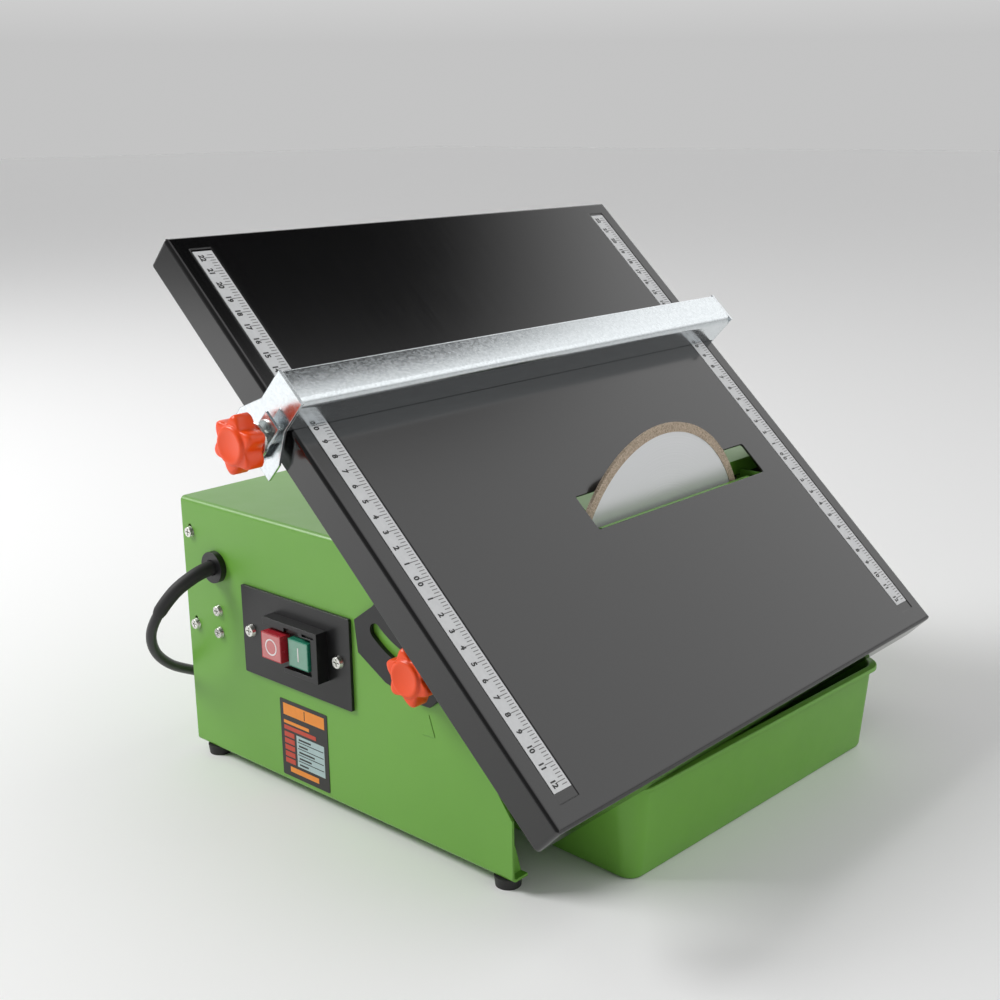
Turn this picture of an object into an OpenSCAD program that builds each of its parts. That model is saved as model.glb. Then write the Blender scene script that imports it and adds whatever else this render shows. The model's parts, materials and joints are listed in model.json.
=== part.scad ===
// Small bench wet saw for tiles: a folded sheet body with a motor and a 180 mm
// diamond blade, a tilting table with a rip fence, and a water tub under the blade.
// X runs along the arbor and down the tilted table, Y runs along the blade away from
// the switch panel, Z is up. The origin is on the floor, below the middle of the blade.

/* [Body] */
// Distance from the blade to the body's left end
body_left = 223.5; // [215:0.5:225]
// Distance from the blade to the body's right edge
body_right = 50; // [46:0.5:52]
// Distance from the arbor axis to the near side panel
body_near = 198; // [190:1:200]
// Distance from the arbor axis to the far side panel
body_far = 142; // [138:1:142]
// Height of the top panel
body_h = 170.5; // [170:0.5:171]
// Thickness of the body's folded sheet
sheet = 1.5; // [1.2:0.1:1.6]

/* [Table] */
// Tilt of the table, 0 when it is flat
rest_tilt = 43; // [0:1:45]
// Length of the table up its slope, left of the blade line
table_left = 238; // [230:1:240]
// Length of the table down its slope, right of the blade line
table_right = 142.8; // [135:0.2:143]
// Distance from the arbor axis to the table's near edge
table_near = 236; // [230:1:240]
// Distance from the arbor axis to the table's far edge
table_far = 149; // [148:0.5:152]
// Depth of the folded flange round the table
flange_h = 20.3; // [16:0.1:21]

/* [Fence] */
// Middle of the fence, from the zero of the scale
fence_u = -113.3; // [-200:0.1:-60]
// Height of the fence beam
fence_h = 22; // [18:1:26]
// Width of the fence beam
fence_w = 23; // [20:1:25]

/* [Blade] */
// Outer diameter of the blade
blade_d = 180; // [170:1:180]
// Thickness of the steel core
core_t = 1.6; // [1.2:0.1:2]
// Thickness of the diamond rim
rim_t = 2.2; // [1.8:0.1:2.6]
// Width of the diamond rim
rim_w = 5.8; // [5:0.2:10]
// Height of the arbor above the floor
arbor_z = 123.4; // [122.4:0.2:125]

/* [Motor] */
// Outer diameter of the motor
motor_d = 84; // [76:1:84]
// Diameter of the clamping flanges beside the blade
arbor_flange_d = 40; // [36:1:44]

/* [Tub] */
// Height of the water tub
tub_h = 57; // [52:0.5:57]
// Wall thickness of the tub
tub_t = 2.2; // [2:0.1:3]
// How far the tub is turned from square under the table
tub_turn = 2.4; // [0:0.2:2.4]

/* [Knobs] */
// Diameter across the lobes of a star knob
knob_d = 32.6; // [30:0.2:34]
// Diameter of the clamping studs
stud_d = 7.8; // [6:0.1:8]

/* [Cord] */
// Diameter of the mains cord
cord_d = 6.6; // [6:0.1:7]

/* [Hidden] */
$fn = 64;
fit = 0.05;            // radial clearance of a running fit
eps = 1;               // how far a cutter runs past a face

// Body
fold_r = 3;
lip_z = 6;             // underside of the body's bottom lips
lip_w = 12;
opening_x = -10;       // the top panel ends here, left of the blade
down_lip = 10;         // height of the top panel's folded edge
inner_near = -body_near + sheet;
inner_far = body_far - sheet;
side_outline = [
    [-body_left, lip_z], [body_right, lip_z], [body_right, 42], [body_right - 12, 58],
    [body_right - 36, body_h - 12.5], [body_right - 48, body_h], [-body_left, body_h],
];
foot_r = 7.75;
foot_x = [41, -209];
foot_y = [-body_near + 6.5, body_far - 6.5];
gusset_x = 43.8;
cover_gap = 1.5;       // the end cover sits this far inside the body's left end
cover_screw_x = -body_left + 7.8;
cover_screw_z = [88.3, 148.8];
gland_at = [-191.2, 131.3];
clamp_screw_z = [88, 102.4];
clamp_screw_x = -191.8;

// Motor plate and splash guard
plate_x = opening_x - sheet;
plate_t = 2;
plate_z = 58;
guard_x = 31;
guard_t = 1.6;
guard_half = 104;
guard_top = 164;
guard_slope = 20.2;
guard_screw_y = [-110, 110];
guard_screw_z = [75, 145];

// Tilting table, in its own frame: u down the slope, w up from the top face
pivot_x = -11.7;       // as far from the blade in the table's frame, so the flat table keeps its zero
pivot_z = 166.1;
pivot_drop = 17.6;     // the top face lies this far above the pivot
ear_r = 9;
table_t = 1.5;
slot_u = [-18, 6];
slot_y = [-80, 96.4];
scale_w = 12.8;
scale_u = [-226, 125.3];
scale_y = [-224.4, 124.6];
groove_d = 0.4;
bracket_t = 2.5;
bracket_gap = 0.5;
arc_r = 53.5;
arc_a = [-87.2, -39.5];
stud_a = -84.7;        // direction of the tilt studs from the pivot
stud_at = [pivot_x + arc_r*cos(stud_a), pivot_z + arc_r*sin(stud_a)];
stud_r = stud_d/2;
slot_r = stud_r + 0.5;   // half the width of the tilt slots
stud_head_r = 8.5;
pin_r = 4.95;

// Fence clamp
fence_gap = 0.2;
end_t = 1.6;
end_y = -table_near - 3.3;
tab_u = fence_u + 4.9;
tab_w = 12.4;
tab_t = 1.6;
tab_y = end_y - end_t - 3.5;
clamp_y = -table_near - 14.6;     // inner face of the clamp's knob
clamp_w = -13;         // height of the clamp's axis on the table's flange
leg_w = -31;

// Switch
switch_x = [-136.3, -88.4];
switch_z = [84.2, 114.6];
stop_x = [-132.8, -115.6];
stop_z = [91.2, 107.4];
start_x = [-112.2, -95.2];
start_z = [90.4, 107.2];
key_back = -194;
plate_face = -body_near - 2;
switch_face = plate_face - 8;
switch_screw_x = [-157.4, -79];
switch_screw_z = 98.3;

// Blade, arbor and motor
core_r = blade_d/2 - rim_w;
bore_r = 12.7;
flange_r = arbor_flange_d/2;
motor_r = motor_d/2;
shell_t = 4;
shaft_r = 7.5;
bearing_r = 17.5;
bell_bolt_r = 34;
bell_x = plate_x - plate_t;
bell_l = 24;
housing_x = -158;
rear_x = -180;
stack_x = [-140, -60];

// Tub, in its own frame: the outline of its foot, and how much its walls and rim spread
tub_x = [-110, 97];
tub_y = [-144.4, 93.4];
tub_draft = 4.8;
tub_r = 9;
rim_over = 3.4;
rim_h = 1.4;
rim_lip = 2.6;

// Mains cord: a hand-laid route from the gland, and the coil it ends in
cord_r = cord_d/2;
cord_sides = 10;
route = [
    [-191, -196, 131.5], [-192.5, -205, 130.5], [-195, -214, 127], [-200, -224, 119],
    [-208, -231, 105], [-219, -230, 89], [-228, -222, 73], [-235, -208, 59],
    [-241, -190, 48], [-248, -162, 34], [-256, -128, 20], [-266, -92, 9],
    [-275, -54, 4.5], [-281, -14, 3.5], [-282, 28, 3.5], [-277, 70, 3.5],
    [-267, 110, 3.5], [-252, 148, 3.5], [-229, 174, 3.5], [-200, 179, 3.5], [-176, 176, 3.5],
];
steps = 3;             // rings per stretch of the route
sleeve_rings = 12;
coil_at = [-158, 216];
coil_r = 36;
coil_z = 0.2;
tail_route = [
    [-158, 173.4, 10.1], [-146, 173.4, 10.6], [-134, 173.6, 12.2], [-122, 174, 14.8],
    [-110, 174.5, 17.2], [-98, 175, 18.5], [-86, 175.2, 18.8],
];
plug_at = [-86, 175.2, 18.8];

// ---------------------------------------------------------------- helpers

module rounded_rect(a, b, r) {
    translate([a.x + r, a.y]) square([b.x - a.x - 2*r, b.y - a.y]);
    translate([a.x, a.y + r]) square([b.x - a.x, b.y - a.y - 2*r]);
    for (x = [a.x + r, b.x - r], y = [a.y + r, b.y - r]) translate([x, y]) circle(r);
}

// A box between two corners
module block(a, b) { translate(a) cube(b - a); }

// An XZ outline made solid from y to y + t
module xz_plate(y, t) { translate([0, y + t, 0]) rotate([90, 0, 0]) linear_extrude(t) children(); }

// A YZ outline made solid from x to x + t
module yz_plate(x, t) { translate([x, 0, 0]) rotate([90, 0, 90]) linear_extrude(t) children(); }

// A round bar along Y from y to y + l, at x and z
module bar_y(at, y, l, r) { translate([at.x, y, at.y]) rotate([-90, 0, 0]) cylinder(h = l, r = r); }

// A round bar along X from x to x + l, at y and z
module bar_x(at, x, l, r) { translate([x, at.x, at.y]) rotate([0, 90, 0]) cylinder(h = l, r = r); }

// The same, centred on the arbor
module arbor_bar(x, l, r) { bar_x([0, arbor_z], x, l, r); }

// A pan-head screw: its head stands below z = 0 and its shank points up
module pan_screw(head_r, head_h, shank_r, shank_l) {
    difference() {
        union() {
            translate([0, 0, -head_h]) cylinder(h = head_h, r1 = head_r*0.8, r2 = head_r);
            cylinder(h = shank_l, r = shank_r);
        }
        for (a = [0, 90]) rotate(a)
            translate([-head_r*0.55, -0.4, -head_h - eps]) cube([head_r*1.1, 0.8, eps + head_h*0.5]);
    }
}

// A screw whose head lies on the face at y, driven along +Y (side 1) or -Y (side -1)
module screw_y(at, y, side, head_r = 3.85, shank_r = 1.9, l = 7) {
    translate([at.x, y, at.y]) rotate([-90*side, 0, 0]) pan_screw(head_r, 2.2, shank_r, l);
}

// Puts the table's own frame (u, y, w) where the tilt leaves it
module on_table() {
    translate([pivot_x, 0, pivot_z]) rotate([0, rest_tilt, 0]) translate([-pivot_x, 0, pivot_drop]) children();
}

// Six round lobes round a disc
module star_outline() {
    lobe_r = knob_d*0.14;
    circle(knob_d*0.34);
    for (i = [0:5]) rotate(60*i) translate([knob_d/2 - lobe_r, 0]) circle(lobe_r);
}

// Clamp knob: its collar starts at z = 0 and it stands up along z
module star_knob() {
    difference() {
        union() {
            cylinder(h = 2.5, r = 9);
            translate([0, 0, 2.5]) linear_extrude(11.5) star_outline();
            translate([0, 0, 14]) cylinder(h = 1.5, r = 8.5);
        }
        translate([0, 0, -eps]) cylinder(h = 10 + eps, r = stud_r + fit);
    }
}

// ---------------------------------------------------------------- sheet body

module body_profile() {
    difference() {
        rounded_rect([-body_near, lip_z], [body_far, body_h], fold_r);
        rounded_rect([inner_near, lip_z + sheet], [inner_far, body_h - sheet], fold_r - sheet);
        translate([-body_near + lip_w, lip_z - eps])
            square([body_near + body_far - 2*lip_w, sheet + 2*eps]);
    }
}

// Small gussets that stiffen the bottom lips at their right ends
module gusset_outline() {
    polygon([[inner_near, lip_z + sheet], [-body_near + lip_w, lip_z + sheet], [inner_near, lip_z + 38]]);
    polygon([[inner_far, lip_z + sheet], [body_far - lip_w, lip_z + sheet], [inner_far, lip_z + 38]]);
}

// Ears that carry the table's pivots above the folded edges
module pivot_ear(y) {
    xz_plate(y, sheet) {
        translate([pivot_x, pivot_z]) circle(ear_r);
        translate([pivot_x - ear_r, pivot_z - 20]) square([2*ear_r, 20]);
    }
}

module panel_holes(y) {
    bar_y(stud_at, y, 4, stud_r + fit);
    bar_y([pivot_x, pivot_z], y, 4, pin_r + fit);
    for (z = cover_screw_z) {
        bar_y([cover_screw_x, z], y, 4, 1.95);
        bar_y([cover_screw_x, z + 3.6], y, 4, 1.6);
    }
}

module body_shell() {
    color("yellowgreen") difference() {
        union() {
            intersection() {
                yz_plate(-body_left, body_left + body_right) body_profile();
                xz_plate(-body_near - eps, body_near + body_far + 2*eps) polygon(side_outline);
            }
            block([plate_x, -body_near + fold_r, body_h - down_lip], [opening_x, body_far - fold_r, body_h - sheet]);
            pointer();
            yz_plate(gusset_x, sheet) gusset_outline();
            for (y = [-body_near, inner_far]) pivot_ear(y);
        }
        block([opening_x, inner_near, 100], [body_right + eps, inner_far, body_h + eps]);
        panel_holes(-body_near - eps);
        panel_holes(body_far - 3);
        bar_y(gland_at, -body_near - eps, 4, 8);
        for (z = clamp_screw_z) bar_y([clamp_screw_x, z], -body_near - eps, 4, 1.95);
        for (x = switch_screw_x) bar_y([x, switch_screw_z], -body_near - eps, 4, 1.95);
        block([switch_x[0] + 1.7, -body_near - eps, switch_z[0] + 1.3],
              [switch_x[1] - 1.7, inner_near + eps, switch_z[1] - 1.3]);
        for (x = foot_x, y = foot_y) translate([x, y, 0]) cylinder(h = 12, r = 1.7);
    }
}

// Small raised pointer that reads against the tilting bracket
module pointer() {
    xz_plate(-body_near - 0.3, 0.4) polygon([[-9.3, 85.4], [-15.2, 72.3], [-5.1, 73.2]]);
}

module end_cover() {
    x = -body_left + cover_gap;
    near = inner_near + 0.1;
    far = inner_far - 0.1;
    color("yellowgreen") difference() {
        union() {
            yz_plate(x, sheet)
                rounded_rect([near, lip_z + sheet + 0.1], [far, body_h - sheet - 0.1], fold_r - sheet);
            block([x, near, 20], [x + 13, near + sheet, 160]);
            block([x, far - sheet, 20], [x + 13, far, 160]);
        }
        for (z = cover_screw_z) {
            bar_y([cover_screw_x, z], near - eps, 5, 1.95);
            bar_y([cover_screw_x, z], far - 4, 5, 1.95);
        }
        for (i = [-4:4]) yz_plate(x - eps, 4)
            translate([12*i, 0]) rounded_rect([-2.5, 90], [2.5, 150], 2.4);
    }
}

module cover_screws() {
    color("silver") for (z = cover_screw_z) {
        screw_y([cover_screw_x, z], -body_near, 1);
        screw_y([cover_screw_x, z], body_far, -1);
    }
}

module feet() {
    color("dimgray") for (x = foot_x, y = foot_y) translate([x, y, 0]) difference() {
        cylinder(h = lip_z, r1 = foot_r - 0.7, r2 = foot_r);
        translate([0, 0, 2]) cylinder(h = lip_z, r = 1.65);
    }
}

module foot_screws() {
    color("silver") for (x = foot_x, y = foot_y)
        translate([x, y, lip_z + sheet]) rotate([180, 0, 0]) pan_screw(2.6, 2, 1.6, 5);
}

module info_label() {
    color("black") xz_plate(-body_near - 0.3, 0.3) rounded_rect([-136.5, 10.3], [-94, 60.2], 1);
}

// ---------------------------------------------------------------- motor plate and guard

module motor_plate() {
    near = inner_near + 0.1;
    far = inner_far - 0.1;
    top = body_h - sheet - fold_r/2;
    color("dimgray") difference() {
        union() {
            block([plate_x - plate_t, near, plate_z], [plate_x, far, top]);
            block([plate_x - 14, near, plate_z], [plate_x, near + plate_t, top]);
            block([plate_x - 14, far - plate_t, plate_z], [plate_x, far, top]);
        }
        arbor_bar(plate_x - 5, 10, 16);
        for (a = [45:90:315])
            bar_x([bell_bolt_r*cos(a), arbor_z + bell_bolt_r*sin(a)], plate_x - 5, 10, 2.6);
        for (y = guard_screw_y, z = guard_screw_z) bar_x([y, z], plate_x - 5, 10, 1.95);
        for (y = [near - eps, far - 4]) bar_y(stud_at, y, 4 + eps, stud_head_r + 0.8);
    }
}

module guard_wall_outline() {
    polygon([
        [guard_x - guard_slope, guard_top], [guard_x, guard_top - guard_slope], [guard_x, plate_z],
        [guard_x - guard_t, plate_z], [guard_x - guard_t, guard_top - guard_slope - 0.7],
        [guard_x - guard_slope - 1.2, guard_top - 1.2],
    ]);
}

module guard_end_outline() {
    polygon([
        [plate_x, plate_z], [guard_x, plate_z], [guard_x, guard_top - guard_slope],
        [guard_x - guard_slope, guard_top], [opening_x + 1, guard_top],
        [opening_x + 1, body_h - down_lip - 1], [plate_x, body_h - down_lip - 1],
    ]);
}

module splash_guard() {
    color("yellowgreen") difference() {
        union() {
            xz_plate(-guard_half, 2*guard_half) guard_wall_outline();
            block([4.4, -69, guard_top - guard_t], [guard_x - guard_slope, 90, guard_top]);
            for (y = [-guard_half, guard_half - guard_t]) xz_plate(y, guard_t) guard_end_outline();
            for (side = [-1, 1]) block([plate_x, min(side*guard_half, side*(guard_half + 12)), plate_z],
                                       [plate_x + guard_t, max(side*guard_half, side*(guard_half + 12)), 158]);
        }
        for (y = guard_screw_y, z = guard_screw_z) bar_x([y, z], plate_x - eps, 5, 1.95);
    }
}

module guard_screws() {
    color("silver") for (y = guard_screw_y, z = guard_screw_z)
        translate([plate_x + guard_t, y, z]) rotate([0, -90, 0]) pan_screw(3.6, 2, 1.85, 6);
}

// ---------------------------------------------------------------- mains cord

// Catmull-Rom curve through the points, steps rings to a stretch
function spline(a, b, c, d, t) =
    0.5*((2*b) + (c - a)*t + (2*a - 5*b + 4*c - d)*t*t + (3*b - a - 3*c + d)*t*t*t);
function smooth_route(p) = [
    for (i = [0:len(p) - 2], k = [0:steps - 1])
        spline(p[max(i - 1, 0)], p[i], p[i + 1], p[min(i + 2, len(p) - 1)], k/steps),
    p[len(p) - 1],
];
function heading(p, i) = let (d = p[min(i + 1, len(p) - 1)] - p[max(i - 1, 0)]) d/norm(d);
function across(t) = let (s = cross(t, abs(t.z) > 0.9 ? [0, 1, 0] : [0, 0, 1])) s/norm(s);
function ring(at, t, r) = let (s = across(t), up = cross(s, t)) [
    for (k = [0:cord_sides - 1]) at + r*(cos(360*k/cord_sides)*s + sin(360*k/cord_sides)*up)
];

// A tube swept along rings first to last of the smooth points p
module swept_tube(p, first, last, r0, r1) {
    n = last - first;
    rings = [for (i = [first:last]) ring(p[i], heading(p, i), r0 + (r1 - r0)*(i - first)/n)];
    points = [for (q = rings) each q];
    walls = [for (i = [0:n - 1], k = [0:cord_sides - 1]) let (j = (k + 1) % cord_sides)
        each [[i*cord_sides + k, (i + 1)*cord_sides + k, i*cord_sides + j],
              [i*cord_sides + j, (i + 1)*cord_sides + k, (i + 1)*cord_sides + j]]];
    near_cap = [for (k = [0:cord_sides - 1]) k];
    far_cap = [for (k = [cord_sides - 1:-1:0]) n*cord_sides + k];
    polyhedron(points, concat(walls, [near_cap, far_cap]));
}

main_curve = smooth_route(route);
tail_curve = smooth_route(tail_route);

module cable_gland() {
    color("black") difference() {
        union() {
            bar_y(gland_at, -body_near - 4, 4, 9.85);
            bar_y(gland_at, -body_near, sheet, 7.9);
            bar_y(gland_at, inner_near, 2.5, 9.4);
        }
        bar_y(gland_at, -body_near - 4 - eps, 20, 4.9);
    }
}

module cable_sleeve() { color("black") swept_tube(main_curve, 0, sleeve_rings, 4.7, 4.2); }

module cord() {
    color("black") swept_tube(main_curve, sleeve_rings, len(main_curve) - 1, cord_r, cord_r);
}

module cord_coil() {
    color("black") translate([coil_at.x, coil_at.y, coil_z]) rotate_extrude()
        rounded_rect([coil_r - 3*cord_r, 0], [coil_r + 3*cord_r, 2*cord_d], cord_r - 0.1);
}

module cord_tail() { color("black") swept_tube(tail_curve, 0, len(tail_curve) - 1, cord_r, cord_r); }

module plug_body() {
    color("black") translate(plug_at) rotate([0, 90, 0]) union() {
        cylinder(h = 20, r1 = 4.6, r2 = 6.5);
        translate([0, 0, 20]) cylinder(h = 14, r1 = 9, r2 = 12);
        translate([0, 0, 34]) cylinder(h = 6, r1 = 12, r2 = 18.4);
        translate([0, 0, 40]) cylinder(h = 14, r = 18.4);
    }
}

module plug_pins() {
    color("silver") for (y = [-9.5, 9.5])
        bar_x([plug_at.y + y, plug_at.z], plug_at.x + 54, 19, 2.4);
}

module cord_clamp() {
    color("gray") difference() {
        block([clamp_screw_x - 5, inner_near, 83], [clamp_screw_x + 5, inner_near + 5, 107]);
        for (z = clamp_screw_z) bar_y([clamp_screw_x, z], inner_near - eps, 8, 1.9);
    }
}

module clamp_screws() {
    color("silver") for (z = clamp_screw_z)
        screw_y([clamp_screw_x, z], -body_near, 1, shank_r = 1.85);
}

module terminal_block() {
    color("white") difference() {
        block([-182, inner_near, 34], [-142, inner_near + 16, 54]);
        for (i = [0:3]) translate([-177 + 10*i, inner_near + 10, 44]) cylinder(h = 12, r = 2.6);
    }
}

// ---------------------------------------------------------------- switch

module switch_plate() {
    color("black") difference() {
        xz_plate(plate_face, 2) rounded_rect([-165.4, 70.3], [-69.3, 125.9], 0.8);
        for (x = switch_screw_x) bar_y([x, switch_screw_z], plate_face - eps, 4, 1.95);
        block([switch_x[0] + 1.7, plate_face - eps, switch_z[0] + 1.3],
              [switch_x[1] - 1.7, -body_near + eps, switch_z[1] - 1.3]);
    }
}

module switch_screws() {
    color("silver") for (x = switch_screw_x)
        screw_y([x, switch_screw_z], plate_face, 1, head_r = 4.2, shank_r = 1.85, l = 9);
}

module key(x, z, face, back, grow = 0) {
    block([x[0] - grow, face, z[0] - grow], [x[1] + grow, back, z[1] + grow]);
}

// Bezel with a roof over both keys, and a guard round the start key
module switch_housing() {
    front = -215;
    guard_left = -118;
    roof_z = switch_z[1] - 5;
    color("black") difference() {
        union() {
            block([switch_x[0], switch_face, switch_z[0]], [switch_x[1], plate_face, switch_z[1]]);
            block([switch_x[0] + 1.9, plate_face, switch_z[0] + 1.5],
                  [switch_x[1] - 1.9, -166, switch_z[1] - 1.5]);
        }
        key(stop_x, stop_z, front, key_back + 4, 0.4);
        key(start_x, start_z, front, key_back + 4, 0.4);
        block([switch_x[0] - eps, front, switch_z[0] - eps], [guard_left, plate_face - 0.8, roof_z]);
        block([guard_left - eps, front, switch_z[0] + 3], [switch_x[1] - 5.2, plate_face - 5, roof_z]);
        block([-117, front, roof_z - eps], [-104, switch_face + 2, roof_z + 2.4]);
        block([-101, front, roof_z + 0.8], [-91, switch_face + 1.5, roof_z + 2.4]);
    }
}

module stop_button() { color("crimson") key(stop_x, stop_z, -212, key_back); }

module start_button() { color("seagreen") key(start_x, start_z, -209, key_back); }

// ---------------------------------------------------------------- pivots and tilt clamps

module pivot_pins() {
    at = [pivot_x, pivot_z];
    color("silver") {
        bar_y(at, -body_near - 3.5, 3.5 + sheet, pin_r);
        bar_y(at, -body_near - 6, 2.5, 6.6);
        bar_y(at, inner_far, sheet + 3.5, pin_r);
        bar_y(at, body_far + 3.5, 1.5, 6.6);
    }
}

module tilt_studs() {
    color("silver") {
        bar_y(stud_at, -body_near - 14, 14 + sheet, stud_r);
        bar_y(stud_at, inner_near, 3, stud_head_r);
        bar_y(stud_at, inner_far, 14 + sheet, stud_r);
        bar_y(stud_at, inner_far - 3, 3, stud_head_r);
    }
}

module tilt_washers() {
    color("silver") for (y = [-body_near - 4.7, body_far + 3.5]) difference() {
        bar_y(stud_at, y, 1.2, 9.5);
        bar_y(stud_at, y - eps, 4, stud_r + fit);
    }
}

module tilt_knob_near() {
    color("orangered") translate([stud_at.x, -body_near - 5, stud_at.y]) rotate([90, 0, 0]) star_knob();
}

module tilt_knob_far() {
    color("orangered") translate([stud_at.x, body_far + 5, stud_at.y]) rotate([-90, 0, 0]) star_knob();
}

// Bracket outline in the table's frame, with the pivot's hole and the slot for the tilt stud
module bracket_outline() {
    difference() {
        polygon([[-20, -table_t], [-20, -62.6], [-23.5, -80.8], [-9, -93], [15, -87.4],
                 [36.6, -75], [43.6, -68.2], [44.2, -63.2], [44.2, -table_t]]);
        translate([pivot_x, -pivot_drop]) {
            circle(pin_r + fit);
            intersection() {
                difference() {
                    circle(arc_r + slot_r);
                    circle(arc_r - slot_r);
                }
                polygon([[0, 0], for (a = arc_a) 90*[cos(a), sin(a)]]);
            }
            // The ends are a hair smaller, so that their edges cross the slot's and don't touch them
            for (a = arc_a) translate(arc_r*[cos(a), sin(a)]) circle(slot_r - 0.05);
        }
    }
}

module bracket_near() {
    y = -body_near - bracket_gap - bracket_t;
    color("black") on_table() {
        xz_plate(y, bracket_t) bracket_outline();
        block([-20, y - 12, -table_t - bracket_t], [44.2, y + bracket_t, -table_t]);
    }
}

module bracket_far() {
    color("black") on_table() xz_plate(body_far + bracket_gap, bracket_t) bracket_outline();
}

// ---------------------------------------------------------------- table

// Solid block with rounded top edges and rounded corners
module pan_solid(inset, bottom, r) {
    u = [-table_left + inset, table_right - inset];
    y = [-table_near + inset, table_far - inset];
    intersection() {
        xz_plate(y[0] - eps, y[1] - y[0] + 2*eps) rounded_rect([u[0], bottom - r], [u[1], -inset], r);
        yz_plate(u[0] - eps, u[1] - u[0] + 2*eps) rounded_rect([y[0], bottom - r], [y[1], -inset], r);
        translate([0, 0, bottom]) linear_extrude(40) rounded_rect([u[0], y[0]], [u[1], y[1]], r + 0.5);
    }
}

module table_pan() {
    color("dimgray") on_table() difference() {
        pan_solid(0, -flange_h, 2.5);
        pan_solid(table_t, -flange_h - 5, 1);
        translate([0, 0, -5]) linear_extrude(10)
            rounded_rect([slot_u[0], slot_y[0]], [slot_u[1], slot_y[1]], 1.5);
        for (y = scale_y)
            block([scale_u[0] - 2, y - 0.8, -groove_d], [scale_u[1] + 5.7, y + scale_w + 0.8, eps]);
    }
}

module scale_strip(y) {
    color("white") on_table() block([scale_u[0], y, -groove_d], [scale_u[1], y + scale_w, -0.1]);
}

module scale_near() { scale_strip(scale_y[0]); }

module scale_far() { scale_strip(scale_y[1]); }

// ---------------------------------------------------------------- fence

module fence_beam() {
    u = [fence_u - fence_w/2, fence_u + fence_w/2];
    color("silver") on_table() xz_plate(end_y, table_far + 1 - end_y) difference() {
        rounded_rect([u[0], fence_gap - 5], [u[1], fence_h], 2);
        rounded_rect([u[0] + 1.5, fence_gap - 8], [u[1] - 1.5, fence_h - 1.5], 0.6);
        translate([u[0] - eps, fence_gap - 20]) square([fence_w + 2*eps, 20]);
    }
}

// End plate with flared legs; a strip from its foot is folded up as the stud's tab
module fence_end_plate() {
    flare = 20;
    half = fence_w/2;
    color("silver") on_table() difference() {
        union() {
            xz_plate(end_y - end_t, end_t) difference() {
                polygon([[fence_u - half, fence_h], [fence_u - half, 0], [fence_u - flare, -18],
                         [fence_u - flare, leg_w], [fence_u + flare, leg_w], [fence_u + flare, -18],
                         [fence_u + half, 0], [fence_u + half, fence_h]]);
                translate([tab_u - tab_w/2, leg_w - eps]) square([tab_w, 9 + eps]);
            }
            block([tab_u - tab_w/2, tab_y - tab_t, leg_w + 9 - 1.6], [tab_u + tab_w/2, end_y, leg_w + 9]);
            block([tab_u - tab_w/2, tab_y - tab_t, leg_w + 9 - 1.6], [tab_u + tab_w/2, tab_y, 2.5]);
        }
        bar_y([tab_u, clamp_w], tab_y - 3, 20, stud_r + fit);
    }
}

module fence_hook() {
    color("silver") on_table()
        block([fence_u - fence_w/2, table_far + 1, -14], [fence_u + fence_w/2, table_far + 2.6, fence_h]);
}

module fence_stud() {
    color("silver") on_table() {
        bar_y([tab_u, clamp_w], clamp_y - 9.9, -clamp_y + 9.6 - table_near, stud_r);
        bar_y([tab_u, clamp_w], clamp_y + 0.1, 1.6, 9.8);
    }
}

module fence_knob() {
    color("orangered") on_table() translate([tab_u, clamp_y, clamp_w])
        rotate([90, 0, 0]) star_knob();
}

// ---------------------------------------------------------------- blade and arbor

module blade_core() {
    color("silver") difference() {
        arbor_bar(-core_t/2, core_t, core_r);
        arbor_bar(-core_t, 2*core_t, bore_r);
    }
}

module blade_rim() {
    color("tan") difference() {
        arbor_bar(-rim_t/2, rim_t, core_r + rim_w);
        arbor_bar(-rim_t, 2*rim_t, core_r);
    }
}

module inner_flange() {
    color("gray") difference() {
        union() {
            arbor_bar(-core_t/2 - 5, 5, flange_r);
            arbor_bar(-core_t/2, core_t - 0.1, bore_r - fit);
            arbor_bar(-core_t/2 - 12, 7, 11);
        }
        arbor_bar(-core_t/2 - 20, 30, 6.05);
    }
}

module outer_flange() {
    color("gray") difference() {
        arbor_bar(core_t/2, 4, flange_r);
        arbor_bar(0, 10, 6.05);
    }
}

module arbor_nut() {
    color("gray") difference() {
        translate([core_t/2 + 4, 0, arbor_z]) rotate([0, 90, 0]) cylinder(h = 8, r = 11, $fn = 6);
        arbor_bar(0, 20, 6.05);
    }
}

// ---------------------------------------------------------------- motor

module motor_shaft() {
    color("gray") {
        arbor_bar(-13, 27, 6);
        arbor_bar(-197, 184, shaft_r);
    }
}

module rotor_core() {
    color("gray") difference() {
        union() {
            arbor_bar(stack_x[0], stack_x[1] - stack_x[0], 23.5);
            arbor_bar(stack_x[0] - 6, stack_x[1] - stack_x[0] + 12, 20);
        }
        arbor_bar(stack_x[0] - 10, 120, shaft_r);
    }
}

module motor_housing() {
    color("gray") difference() {
        arbor_bar(housing_x, bell_x - bell_l - housing_x, motor_r);
        arbor_bar(housing_x - eps, 200, motor_r - shell_t);
    }
}

module front_bell() {
    color("gray") difference() {
        arbor_bar(bell_x - bell_l, bell_l, motor_r);
        arbor_bar(bell_x - bell_l - eps, 6 + eps, motor_r - shell_t);
        arbor_bar(bell_x - bell_l, 17, bearing_r);
        arbor_bar(bell_x - 10, 12, 10);
        for (a = [45:90:315])
            bar_x([bell_bolt_r*cos(a), arbor_z + bell_bolt_r*sin(a)], bell_x - 12, 14, 2.5);
    }
}

module motor_screws() {
    color("silver") for (a = [45:90:315])
        translate([plate_x, bell_bolt_r*cos(a), arbor_z + bell_bolt_r*sin(a)])
            rotate([0, -90, 0]) pan_screw(4.6, 2.6, 2.45, 12);
}

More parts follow.
